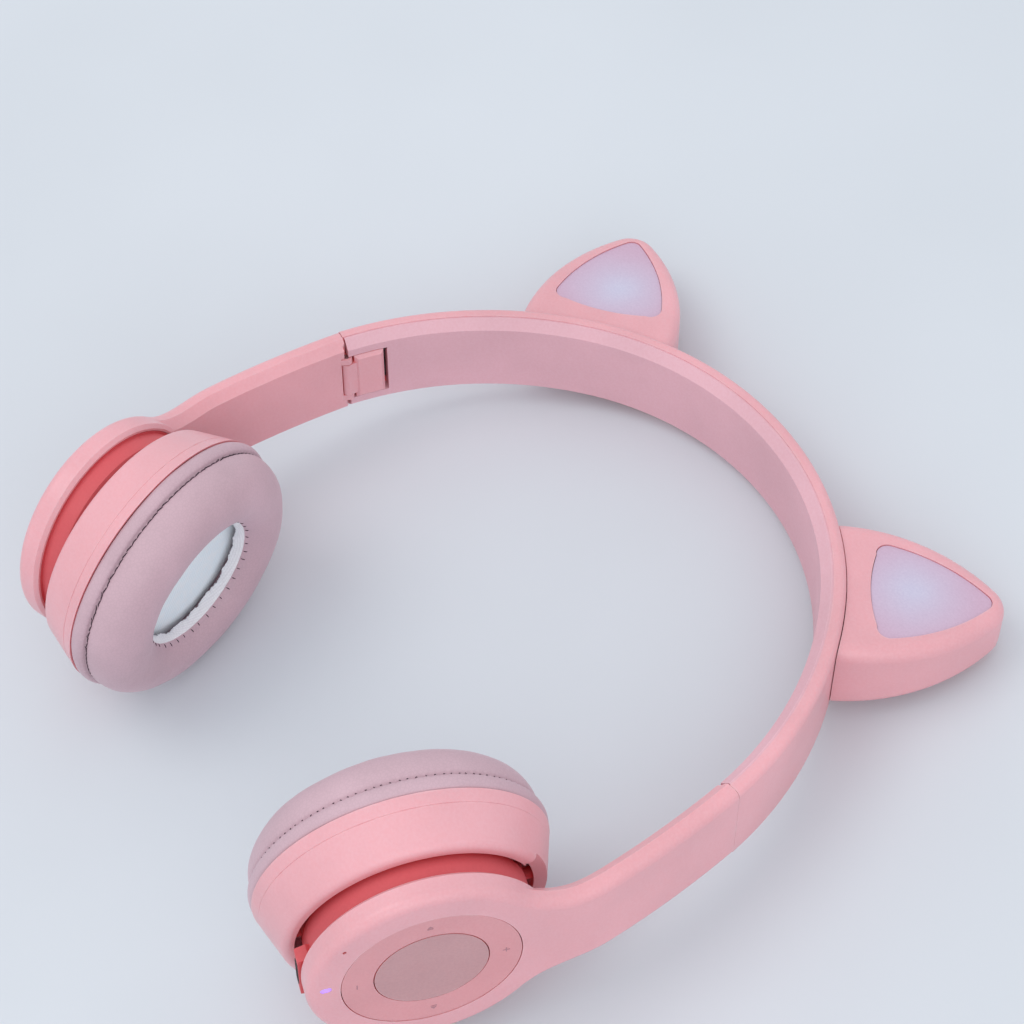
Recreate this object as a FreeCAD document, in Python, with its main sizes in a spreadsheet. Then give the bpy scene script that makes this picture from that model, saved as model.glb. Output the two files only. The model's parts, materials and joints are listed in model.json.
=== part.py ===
"""Foldable wireless on-ear headset with cat ears, lying on its side.

The headset is drawn in a flat frame: X is the wearer's left to right, Y runs up to the crown, Z is across the
band's width, and the band's middle plane is Z = 0. Every sub-part then gets a Placement that tips the whole
headset about X until the crown's edge and both cups rest on one level surface, with +Z up.
Lengths are in millimetres and angles in degrees.
"""
import FreeCAD, Part
import os
import Sketcher
from math import atan2, cos, degrees, hypot, radians, sin, sqrt
from FreeCAD import Placement, Rotation, Vector

doc = FreeCAD.newDocument("headset")

DRIVING = [
    # headband: three tangent arcs on each half of its outer face
    ("crown_height", 155.0), ("crown_radius", 86.0), ("crown_half_angle", 40.0),
    ("side_radius", 101.0), ("seam_angle", 79.5), ("side_end_angle", 81.0),
    ("band_width", 26.4), ("shell_depth", 3.3), ("band_depth", 6.3), ("outer_round", 1.9),
    ("liner_bevel", 2.4), ("channel_width", 12.6), ("channel_floor", 1.7),
    # slider and fold hinge at the seam
    ("slider_width", 12.0), ("slider_depth", 1.9), ("slider_thick", 1.3), ("slider_length", 42.0),
    ("block_width", 16.0), ("block_length", 8.8), ("block_top", 7.2), ("window_length", 12.0),
    ("seam_gap", 0.4), ("block_chamfer", 0.9), ("hinge_depth", 5.6),
    ("knuckle_radius", 1.7), ("knuckle_width", 11.6),
    ("pin_radius", 0.8), ("pin_clearance", 0.05), ("lug_thick", 1.9),
    # arm and disc
    ("arm_radius", 272.0), ("arm_end_angle", 88.5), ("neck_radius", 45.0), ("disc_angle", 107.5),
    ("neck_to_centre", 29.6), ("disc_radius", 29.3), ("disc_depth", 6.8), ("flare_radius", 20.0),
    ("disc_wall", 1.6), ("face_thick", 1.8), ("disc_round", 2.4), ("end_bevel", 1.2),
    # hub between disc and cup
    ("hub_radius", 26.9), ("hub_wall", 1.6), ("hub_end", 15.5), ("pivot_depth", 18.6),
    ("pivot_radius", 1.5), ("lug_half_width", 5.0),
    # cup
    ("cup_radius", 36.0), ("cup_rim_radius", 31.9), ("cup_mouth", 27.0), ("cup_back", 14.2),
    ("recess_radius", 28.9), ("recess_floor", 22.4), ("cup_wall", 1.5), ("notch_depth", 2.0),
    ("left_rest_tilt", 7.4), ("right_rest_tilt", 5.2), ("left_cup_lift", 3.2), ("right_cup_lift", 0.0),
    # cushion and driver
    ("cushion_radius", 36.4), ("hole_radius", 18.0), ("cushion_top", 42.6), ("baffle_thick", 1.6),
    ("driver_radius", 20.0), ("magnet_radius", 8.5),
    # charging port in a shoulder on the right hub
    ("port_half_width", 4.5), ("port_middle", 1.0), ("port_face", 29.7), ("shoulder_depth", 3.8),
    # controls on the right disc
    ("ring_radius", 21.3), ("ring_inner", 13.75), ("button_radius", 13.5), ("control_gap", 0.2),
    ("rock_depth", 3.275), ("rock_pin", 0.3),
    # ears
    ("ear_start", 24.7), ("ear_end", 51.0), ("ear_height", 42.3), ("ear_root_half", 11.4),
    ("ear_tip_half", 7.6), ("ear_round", 3.6), ("lens_half", 14.9), ("lens_start", 10.0),
    ("lens_end", 39.0), ("ear_bulge", 4.8), ("ear_gap", 0.2), ("lens_corner", 3.6), ("lens_tip", 1.9),
    # the way it lies
    ("rest_tip", 8.93), ("rest_roll", 0.846),
    ("rest_shift_x", -0.712), ("rest_shift_y", -67.597), ("rest_shift_z", 36.895),
    ("left_rest_fold", 2.2),
]
sheet = doc.addObject("Spreadsheet::Sheet", "dims")
for row, (name, value) in enumerate(DRIVING, start=1):
    sheet.set("A%d" % row, name)
    sheet.set("B%d" % row, repr(value))
    sheet.setAlias("B%d" % row, name)
doc.recompute()


def size(name):
    return float(getattr(sheet, name))


# ---------------------------------------------------------------- frames
REST = Placement(
    Vector(size("rest_shift_x"), size("rest_shift_y"), size("rest_shift_z")),
    Rotation(Vector(1, 0, 0), -size("rest_tip")) * Rotation(Vector(0, 1, 0), size("rest_roll")))
SIDES = {"left": -1, "right": 1}

CROWN_R, SIDE_R = size("crown_radius"), size("side_radius")
CROWN_A, SEAM_A, SIDE_A = size("crown_half_angle"), size("seam_angle"), size("side_end_angle")
ARM_R, ARM_A = size("arm_radius"), size("arm_end_angle")
NECK_R, DISC_A = size("neck_radius"), size("disc_angle")


def on_arc(centre, radius, angle):
    """Point at an angle measured from +Y towards +X."""
    return (centre[0] + radius * sin(radians(angle)), centre[1] + radius * cos(radians(angle)))


CROWN_C = (0.0, size("crown_height") - CROWN_R)
SIDE_C = on_arc(on_arc(CROWN_C, CROWN_R, CROWN_A), -SIDE_R, CROWN_A)
ARM_C = on_arc(on_arc(SIDE_C, SIDE_R, SIDE_A), -ARM_R, SIDE_A)
NECK_C = on_arc(on_arc(ARM_C, ARM_R, ARM_A), -NECK_R, ARM_A)
NECK_END = on_arc(NECK_C, NECK_R, DISC_A)
TOE = DISC_A - 90
DISC_C = (
    NECK_END[0] - size("neck_to_centre") * sin(radians(TOE)),
    NECK_END[1] - size("neck_to_centre") * cos(radians(TOE)),
)
HINGE = on_arc(SIDE_C, SIDE_R - size("hinge_depth"), SEAM_A)


def disc_frame(sign):
    """Local Z points out of the disc's face and local Y up the arm; the origin is the face's centre."""
    hinge = Vector(sign * HINGE[0], HINGE[1], 0)
    folded = Rotation(Vector(0, 0, -sign), size("left_rest_fold") if sign < 0 else 0)
    out = Vector(sign * cos(radians(TOE)), -sin(radians(TOE)), 0)
    up = Vector(sign * sin(radians(TOE)), cos(radians(TOE)), 0)
    across = up.cross(out)
    turn = Rotation(across, up, out, "ZXY")
    straight = Placement(Vector(sign * DISC_C[0], DISC_C[1], 0), turn)
    return Placement(Vector(), folded, hinge) * straight


def cup_frame(side):
    """The disc's frame, raised by the cup's lift and turned about the swivel axis to the tilt at rest."""
    pivot = Vector(0, 0, -size("pivot_depth"))
    tilt = Rotation(Vector(0, 1, 0), size(side + "_rest_tilt"))
    lifted = Placement(Vector(0, 0, size(side + "_cup_lift")), Rotation())
    return disc_frame(SIDES[side]) * lifted * Placement(Vector(), tilt, pivot)


def to_disc(point):
    """Flat frame coordinates of the right half to the disc's (Y, Z)."""
    dx, dy = point[0] - DISC_C[0], point[1] - DISC_C[1]
    s, c = sin(radians(TOE)), cos(radians(TOE))
    return (dx * s + dy * c, dx * c - dy * s)


# ---------------------------------------------------------------- building tools
def new_body(name, frame):
    body = doc.addObject("PartDesign::Body", name)
    body.Label = name
    body.Placement = frame
    return body


def new_sketch(body, plane, offset=0.0, offset_name=None):
    sketch = body.newObject("Sketcher::SketchObject", body.Name + "_sketch")
    role = [f for f in body.Origin.OriginFeatures if f.Role == plane][0]
    sketch.AttachmentSupport = [(role, "")]
    sketch.MapMode = "FlatFace"
    if offset:
        sketch.AttachmentOffset = Placement(Vector(0, 0, offset), Rotation())
    return sketch


def bind(obj, prop, expression):
    obj.setExpression(prop, expression)


def draw(sketch, path):
    """Closed outline from ("L", x, y) and ("A", xm, ym, x, y) steps after a first (x, y)."""
    start = here = path[0]
    for step in path[1:]:
        end = (step[-2], step[-1])
        a, b = Vector(here[0], here[1], 0), Vector(end[0], end[1], 0)
        if step[0] == "L":
            sketch.addGeometry(Part.LineSegment(a, b), False)
        else:
            sketch.addGeometry(Part.Arc(a, Vector(step[1], step[2], 0), b), False)
        here = end
    if hypot(here[0] - start[0], here[1] - start[1]) > 1e-6:
        ends = Vector(here[0], here[1], 0), Vector(start[0], start[1], 0)
        sketch.addGeometry(Part.LineSegment(*ends), False)


def draw_circle(sketch, expression, x=0.0, y=0.0):
    """Circle whose radius follows an expression on the sheet."""
    circle = Part.Circle(Vector(x, y, 0), Vector(0, 0, 1), 1.0)
    index = sketch.addGeometry(circle, False)
    sketch.addConstraint(Sketcher.Constraint("DistanceX", -1, 1, index, 3, x))
    sketch.addConstraint(Sketcher.Constraint("DistanceY", -1, 1, index, 3, y))
    rule = sketch.addConstraint(Sketcher.Constraint("Radius", index, 1.0))
    sketch.setExpression("Constraints[%d]" % rule, expression)


def draw_box(sketch, x0, y0, x1, y1):
    draw(sketch, [(x0, y0), ("L", x1, y0), ("L", x1, y1), ("L", x0, y1)])


def checked(feature):
    doc.recompute()
    if "Invalid" in feature.State or feature.Shape.isNull():
        raise RuntimeError(feature.Name + " failed")
    return feature


def extrude(body, kind, sketch, length=None, midplane=False, reverse=False, through=False):
    feature = body.newObject("PartDesign::" + kind, body.Name + "_" + kind.lower())
    feature.Profile = sketch
    if through:
        feature.Type = "ThroughAll"
    elif isinstance(length, str):
        bind(feature, "Length", length)
    else:
        feature.Length = length
    if midplane:
        feature.Midplane = True
    if reverse:
        feature.Reversed = True
    sketch.Visibility = False
    return checked(feature)


def pad(body, sketch, length, **options):
    return extrude(body, "Pad", sketch, length, **options)


def pocket(body, sketch, length=None, **options):
    before = body.Shape.Volume
    feature = extrude(body, "Pocket", sketch, length, **options)
    if body.Shape.Volume > before - 1e-4:
        raise RuntimeError(body.Label + ": a pocket cut nothing")
    return feature


def revolve(body, path):
    """Solid of revolution about the local Z axis from an outline in (radius, Z)."""
    sketch = new_sketch(body, "XZ_Plane")
    draw(sketch, path)
    feature = body.newObject("PartDesign::Revolution", body.Name + "_turn")
    feature.Profile = sketch
    feature.ReferenceAxis = (sketch, ["V_Axis"])
    feature.Angle = 360
    return checked(feature)


def dress(body, kind, picks, amount):
    """Fillet or chamfer on the edges that picks accepts."""
    base = body.Tip
    names = []
    for index, edge in enumerate(base.Shape.Edges, start=1):
        points = edge.discretize(5)
        if picks(points, edge):
            names.append("Edge%d" % index)
    if not names:
        raise RuntimeError(body.Label + ": no edge to " + kind)
    feature = body.newObject("PartDesign::" + kind, body.Name + "_" + kind.lower())
    feature.Base = (base, names)
    bind(feature, "Radius" if kind == "Fillet" else "Size", amount)
    return checked(feature)


# ---------------------------------------------------------------- band outlines
def seam_point(sign, along, depth):
    """Point at an arc length before (negative) or after the seam, and a depth below the outer face."""
    x, y = on_arc(SIDE_C, SIDE_R - depth, SEAM_A + degrees(along / SIDE_R))
    return (sign * x, y)


def side_sector(sign, along0, along1, depth0, depth1):
    middle = (along0 + along1) / 2
    corner = seam_point(sign, along0, depth0)
    return [
        corner,
        ("A",) + seam_point(sign, middle, depth0) + seam_point(sign, along1, depth0),
        ("L",) + seam_point(sign, along1, depth1),
        ("A",) + seam_point(sign, middle, depth1) + seam_point(sign, along0, depth1),
    ]


def band_run(depth, end_angle, sign):
    """Arc steps from the left end to the right end (sign 1) or back (sign -1)."""
    middle = (CROWN_A + end_angle) / 2
    far = on_arc(SIDE_C, SIDE_R - depth, end_angle)
    half = on_arc(SIDE_C, SIDE_R - depth, middle)
    join = on_arc(CROWN_C, CROWN_R - depth, CROWN_A)
    top = on_arc(CROWN_C, CROWN_R - depth, 0)
    return [
        ("A", -sign * half[0], half[1], -sign * join[0], join[1]),
        ("A", top[0], top[1], sign * join[0], join[1]),
        ("A", sign * half[0], half[1], sign * far[0], far[1]),
    ]


def band_strip(depth0, depth1, end_angle):
    first = on_arc(SIDE_C, SIDE_R - depth0, end_angle)
    inner = on_arc(SIDE_C, SIDE_R - depth1, end_angle)
    path = [(-first[0], first[1])] + band_run(depth0, end_angle, 1)
    return path + [("L", inner[0], inner[1])] + band_run(depth1, end_angle, -1)


def depth_of(point):
    """Depth below the band's outer face of a point in the flat frame."""
    angle = degrees(atan2(abs(point.x) - CROWN_C[0], point.y - CROWN_C[1]))
    if angle <= CROWN_A:
        return CROWN_R - hypot(point.x, point.y - CROWN_C[1])
    return SIDE_R - hypot(abs(point.x) - SIDE_C[0], point.y - SIDE_C[1])


SHELL_D, BAND_D = size("shell_depth"), size("band_depth")
HALF_W = size("band_width") / 2
EAR_SCREW_Z = 8.6

# ---------------------------------------------------------------- headband
shell = new_body("shell_blank", Placement())
sketch = new_sketch(shell, "XY_Plane")
draw(sketch, band_strip(0, SHELL_D, SEAM_A))
pad(shell, sketch, "dims.band_width", midplane=True)
dress(shell, "Fillet", lambda pts, e: e.Length > 20 and all(
    abs(depth_of(p)) < 0.05 and abs(abs(p.z) - HALF_W) < 0.01 for p in pts), "dims.outer_round")
sketch = new_sketch(shell, "XY_Plane")
draw(sketch, band_strip(size("channel_floor"), SHELL_D + 1, SEAM_A + 1))
pocket(shell, sketch, "dims.channel_width", midplane=True)

ear_axis = {}
for side, sign in SIDES.items():
    start = on_arc(CROWN_C, CROWN_R, size("ear_start"))
    end = on_arc(SIDE_C, SIDE_R, size("ear_end"))
    lean = degrees(atan2(start[1] - end[1], end[0] - start[0]))
    foot = ((start[0] + end[0]) / 2, (start[1] + end[1]) / 2)
    ear_axis[side] = (foot, lean)

EAR_FOOT, EAR_LEAN = ear_axis["right"]


def ear_frame(sign):
    """Local Y rises from the middle of the ear's foot, local Z is the flat frame's Z."""
    return Placement(Vector(sign * EAR_FOOT[0], EAR_FOOT[1], 0), Rotation(Vector(0, 0, 1), -sign * EAR_LEAN))


def screw_tool(name, radius_shank, radius_head, shank_top, head_top, head_bottom, frame):
    """Screw along local Y made of two cylinders; its head is towards -Y."""
    shank = doc.addObject("Part::Cylinder", name + "_shank")
    shank.Radius, shank.Height = radius_shank, shank_top - head_top
    shank.Placement = frame * Placement(Vector(0, head_top, 0), Rotation(Vector(1, 0, 0), -90))
    head = doc.addObject("Part::Cylinder", name + "_head")
    head.Radius, head.Height = radius_head, head_top - head_bottom
    head.Placement = frame * Placement(Vector(0, head_bottom, 0), Rotation(Vector(1, 0, 0), -90))
    whole = doc.addObject("Part::Fuse", name)
    whole.Base, whole.Tool = shank, head
    return whole


# the outer face stands this far above the chord of the ear's foot
FOOT_RISE = CROWN_R - hypot(EAR_FOOT[0], EAR_FOOT[1] - CROWN_C[1])
holes, screws = [], []
for side, sign in SIDES.items():
    for level in (-EAR_SCREW_Z, EAR_SCREW_Z):
        spot = ear_frame(sign) * Placement(Vector(0, FOOT_RISE, level), Rotation())
        tag = side + ("_low" if level < 0 else "_high")
        screws.append(screw_tool("ear_screw_" + tag, 0.9, 1.6, 6.0, -2.3, -3.1, spot))
        holes.append(screw_tool("ear_hole_" + tag, 0.95, 1.75, 2.0, -2.2, -4.5, spot))
hole_set = doc.addObject("Part::Compound", "ear_holes")
hole_set.Links = holes
headband = doc.addObject("Part::Cut", "headband_shell")
headband.Label = "headband_shell"
headband.Base, headband.Tool = shell, hole_set
headband.Placement = REST
ear_screws = doc.addObject("Part::Compound", "ear_screws")
ear_screws.Label = "ear_screws"
ear_screws.Links = screws
ear_screws.Placement = REST

liner = new_body("headband_liner", REST)
sketch = new_sketch(liner, "XY_Plane")
draw(sketch, band_strip(SHELL_D, BAND_D, SEAM_A - degrees(size("seam_gap") / SIDE_R)))
pad(liner, sketch, "dims.band_width - 0.5", midplane=True)
dress(liner, "Chamfer", lambda pts, e: e.Length > 20 and all(
    abs(depth_of(p) - BAND_D) < 0.05 and abs(p.z) > 5 for p in pts), "dims.liner_bevel")
sketch = new_sketch(liner, "XY_Plane")
for side, sign in SIDES.items():
    draw(sketch, side_sector(sign, -size("window_length"), 2, SHELL_D - 1, BAND_D + 2))
pocket(liner, sketch, "dims.block_width + 0.4", midplane=True)

spring = new_body("headband_spring", REST)
sketch = new_sketch(spring, "XY_Plane")
draw(sketch, band_strip(2.0, 2.6, 50.0))
pad(spring, sketch, "dims.slider_width - 2", midplane=True)

# ---------------------------------------------------------------- slider, hinge block and pin
KNUCKLE_R = size("knuckle_radius")
BLOCK_END = -KNUCKLE_R - 0.35
BLOCK_START = BLOCK_END - size("block_length")
STRIP_TOP = size("slider_depth") + size("slider_thick")
parts = {}
for side, sign in SIDES.items():
    strip = new_body(side + "_slider_strip", REST)
    sketch = new_sketch(strip, "XY_Plane")
    strip_start = BLOCK_END - size("slider_length")
    draw(sketch, side_sector(sign, strip_start, BLOCK_END, size("slider_depth"), STRIP_TOP))
    pad(strip, sketch, "dims.slider_width", midplane=True)
    # detent notches along one edge of the strip
    sketch = new_sketch(strip, "XY_Plane", size("slider_width") / 2)
    for step in range(8):
        at = BLOCK_START - 4 - 2.8 * step
        draw(sketch, side_sector(sign, at - 0.9, at, size("slider_depth") - 1, STRIP_TOP + 1))
    pocket(strip, sketch, 0.7)

    block = new_body(side + "_hinge_block", REST)
    sketch = new_sketch(block, "XY_Plane")
    draw(sketch, side_sector(sign, BLOCK_START, BLOCK_END, SHELL_D + 0.1, size("block_top")))
    pad(block, sketch, "dims.block_width", midplane=True)
    dress(block, "Chamfer", lambda pts, e: all(
        abs(SIDE_R - hypot(abs(p.x) - SIDE_C[0], p.y - SIDE_C[1]) - size("block_top")) < 0.02 for p in pts),
        "dims.block_chamfer")
    sketch = new_sketch(block, "XY_Plane")
    draw(sketch, side_sector(sign, BLOCK_START, BLOCK_END, STRIP_TOP, SHELL_D + 0.2))
    pad(block, sketch, "dims.slider_width - 0.2", midplane=True)
    top, crown_side, low = (
        seam_point(sign, 0, size("hinge_depth") + KNUCKLE_R),
        seam_point(sign, KNUCKLE_R, size("hinge_depth")),
        seam_point(sign, 0, size("hinge_depth") - KNUCKLE_R),
    )
    root_low = seam_point(sign, BLOCK_END - 0.5, size("hinge_depth") - KNUCKLE_R)
    root_top = seam_point(sign, BLOCK_END - 0.9, size("block_top") - 0.5)
    sketch = new_sketch(block, "XY_Plane")
    draw(sketch, [low, ("A",) + crown_side + top, ("L",) + root_top, ("L",) + root_low])
    pad(block, sketch, "dims.knuckle_width", midplane=True)
    sketch = new_sketch(block, "XY_Plane")
    draw_circle(sketch, "dims.pin_radius + dims.pin_clearance", sign * HINGE[0], HINGE[1])
    pocket(block, sketch, through=True, midplane=True)

    pin = new_body(side + "_hinge_pin", REST)
    sketch = new_sketch(pin, "XY_Plane")
    draw_circle(sketch, "dims.pin_radius", sign * HINGE[0], HINGE[1])
    pad(pin, sketch, "dims.knuckle_width + 2 * dims.lug_thick + 0.4", midplane=True)

# ---------------------------------------------------------------- arms with their discs
DISC_R, DISC_D = size("disc_radius"), size("disc_depth")
FLARE_R = size("flare_radius")
FLARE_Y = sqrt((DISC_R + FLARE_R) ** 2 - (HALF_W + FLARE_R) ** 2)
FLARE_X = HALF_W + FLARE_R
TOUCH = (FLARE_X * DISC_R / (DISC_R + FLARE_R), FLARE_Y * DISC_R / (DISC_R + FLARE_R))
HINGE_YZ = to_disc(HINGE)
ARM_TOP = 120.0


def arm_side():
    """Side outline of the strap in the disc's (Y, Z), from the seam down into the disc."""
    def arc(centre, radius, a0, a1, depth):
        mid, end = on_arc(centre, radius - depth, (a0 + a1) / 2), on_arc(centre, radius - depth, a1)
        return ("A",) + to_disc(mid) + to_disc(end)
    start = SEAM_A + degrees(0.05 / SIDE_R)
    inner_start = to_disc(on_arc(NECK_C, NECK_R - BAND_D, DISC_A))
    return [
        to_disc(on_arc(SIDE_C, SIDE_R, start)),
        arc(SIDE_C, SIDE_R, start, SIDE_A, 0),
        arc(ARM_C, ARM_R, SIDE_A, ARM_A, 0),
        arc(NECK_C, NECK_R, ARM_A, DISC_A, 0),
        ("L", 4.0, 0.0),
        ("L", 4.0, -BAND_D),
        ("L",) + inner_start,
        arc(NECK_C, NECK_R, DISC_A, ARM_A, BAND_D),
        arc(ARM_C, ARM_R, ARM_A, SIDE_A, BAND_D),
        arc(SIDE_C, SIDE_R, SIDE_A, start, BAND_D),
    ]


def seam_in_disc(along, depth):
    return to_disc(seam_point(1, along, depth))


def side_sketch(body, offset=0.0):
    """Sketch on the plane of the disc's (Y, Z)."""
    return new_sketch(body, "YZ_Plane", offset)


def strap_depth(p):
    """Depth below the outer face of the strap and disc, for a point in the disc's frame."""
    s, c = sin(radians(TOE)), cos(radians(TOE))
    x, y = DISC_C[0] + p.y * s + p.z * c, DISC_C[1] + p.y * c - p.z * s
    if p.y <= to_disc(NECK_END)[0]:
        return -p.z
    radii = ((NECK_C, NECK_R, DISC_A), (ARM_C, ARM_R, ARM_A), (SIDE_C, SIDE_R, SIDE_A))
    for (cx, cy), radius, end in radii:
        if degrees(atan2(x - cx, y - cy)) <= end + 0.01:
            depth = radius - hypot(x - cx, y - cy)
    return depth


def on_outline(p):
    """True for a point on the strap's sides, the flares or the disc's rim."""
    if p.y > FLARE_Y - 0.01:
        return abs(abs(p.x) - HALF_W) < 0.02
    flare = abs(hypot(abs(p.x) - FLARE_X, p.y - FLARE_Y) - FLARE_R) < 0.02
    return (flare and p.y > TOUCH[1] - 0.01) or abs(hypot(p.x, p.y) - DISC_R) < 0.02


for side, sign in SIDES.items():
    arm = new_body(side + "_arm", REST * disc_frame(sign))
    sketch = side_sketch(arm)
    draw(sketch, arm_side())
    pad(arm, sketch, "2 * dims.disc_radius + 4", midplane=True)
    sketch = new_sketch(arm, "XY_Plane")
    turn = atan2(FLARE_Y - TOUCH[1], FLARE_X - TOUCH[0]) / 2
    mid = (FLARE_X - FLARE_R * cos(turn), FLARE_Y - FLARE_R * sin(turn))
    for hand in (-1, 1):
        draw(sketch, [
            (hand * HALF_W, ARM_TOP), ("L", hand * HALF_W, FLARE_Y),
            ("A", hand * mid[0], mid[1], hand * TOUCH[0], TOUCH[1]),
            ("L", hand * TOUCH[0], 0.0), ("L", hand * 50.0, 0.0), ("L", hand * 50.0, ARM_TOP)])
    pocket(arm, sketch, through=True, midplane=True)
    dress(arm, "Chamfer", lambda pts, e: e.Length > 4 and all(
        on_outline(p) and abs(strap_depth(p) - BAND_D) < 0.02 for p in pts), "dims.liner_bevel")
    rim = DISC_D - 0.6 * size("disc_wall")
    revolve(arm, [(0, 0), ("L", DISC_R, 0), ("L", DISC_R, -rim), ("L", DISC_R + rim - DISC_D, -DISC_D),
                  ("L", 0, -DISC_D)])
    dress(arm, "Fillet", lambda pts, e: all(
        on_outline(p) and abs(strap_depth(p)) < 0.02 for p in pts), "dims.disc_round")
    sketch = new_sketch(arm, "XY_Plane", -DISC_D)
    draw_circle(sketch, "dims.disc_radius - dims.disc_wall")
    pocket(arm, sketch, "dims.disc_depth - dims.face_thick", reverse=True)
    # bevel across the arm's inner end, which clears the liner as the arm folds
    sketch = side_sketch(arm)
    bevel = size("end_bevel")
    draw(sketch, [seam_in_disc(-0.2, BAND_D - bevel), ("L",) + seam_in_disc(bevel, BAND_D + 0.2),
                  ("L",) + seam_in_disc(-0.2, BAND_D + 0.2)])
    pocket(arm, sketch, through=True, midplane=True)
    # relief for the hinge block's knuckle, then the two lugs and their pin hole
    sketch = side_sketch(arm)
    draw_circle(sketch, "dims.knuckle_radius + 0.25", HINGE_YZ[0], HINGE_YZ[1])
    pocket(arm, sketch, "dims.block_width + 0.2", midplane=True)
    for level in (size("knuckle_width") / 2 + 0.2, -size("knuckle_width") / 2 - 0.2 - size("lug_thick")):
        sketch = side_sketch(arm, level)
        lug_r = KNUCKLE_R - 0.1
        draw(sketch, [
            seam_in_disc(0, size("hinge_depth") - lug_r),
            ("A",) + seam_in_disc(-lug_r, size("hinge_depth"))
            + seam_in_disc(0, size("hinge_depth") + lug_r),
            ("L",) + seam_in_disc(2.4, BAND_D - 0.1),
            ("L",) + seam_in_disc(2.4, size("hinge_depth") - lug_r)])
        pad(arm, sketch, "dims.lug_thick")
    sketch = side_sketch(arm)
    draw_circle(sketch, "dims.pin_radius", HINGE_YZ[0], HINGE_YZ[1])
    pocket(arm, sketch, through=True, midplane=True)
    parts[side + "_arm"] = arm

# the right disc carries the controls, the microphone hole and the status light
LIGHT = (-2.5, -24.8)
MIC = (-16.8, -19.8)


def light_outline(more):
    """Oval of the status light, longer along the arm, or of its hole when made wider by more."""
    x, y = LIGHT
    straight, r = 0.5, 0.8 + more
    return [(x + r, y - straight), ("L", x + r, y + straight),
            ("A", x, y + straight + r, x - r, y + straight),
            ("L", x - r, y - straight), ("A", x, y - straight - r, x + r, y - straight)]


arm = parts["right_arm"]
sketch = new_sketch(arm, "XY_Plane")
draw_circle(sketch, "dims.ring_radius + dims.control_gap")
draw_circle(sketch, "dims.pin_radius * 0.6", *MIC)
draw(sketch, light_outline(0.05))
pocket(arm, sketch, "dims.face_thick + 0.5")

# ---------------------------------------------------------------- hub, pins and cup on each side
HUB_R, HUB_END, PIVOT = size("hub_radius"), size("hub_end"), size("pivot_depth")
PLATE_R = DISC_R - size("disc_wall") - 0.15
PLATE_TOP = DISC_D - 1.4
BORE_R = HUB_R - size("hub_wall")
LUG_X, LUG_LOW = size("lug_half_width"), PIVOT + 2.0
LUG_OUT, LUG_T = HUB_R - 0.5, 2.9
RECESS_R, FLOOR = size("recess_radius"), size("recess_floor")
CUP_R, MOUTH, BACK, WALL = size("cup_radius"), size("cup_mouth"), size("cup_back"), size("cup_wall")
RIM_R = size("cup_rim_radius")


def ring_path(r0, r1, z0, z1):
    return [(r0, z0), ("L", r1, z0), ("L", r1, z1), ("L", r0, z1)]


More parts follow.
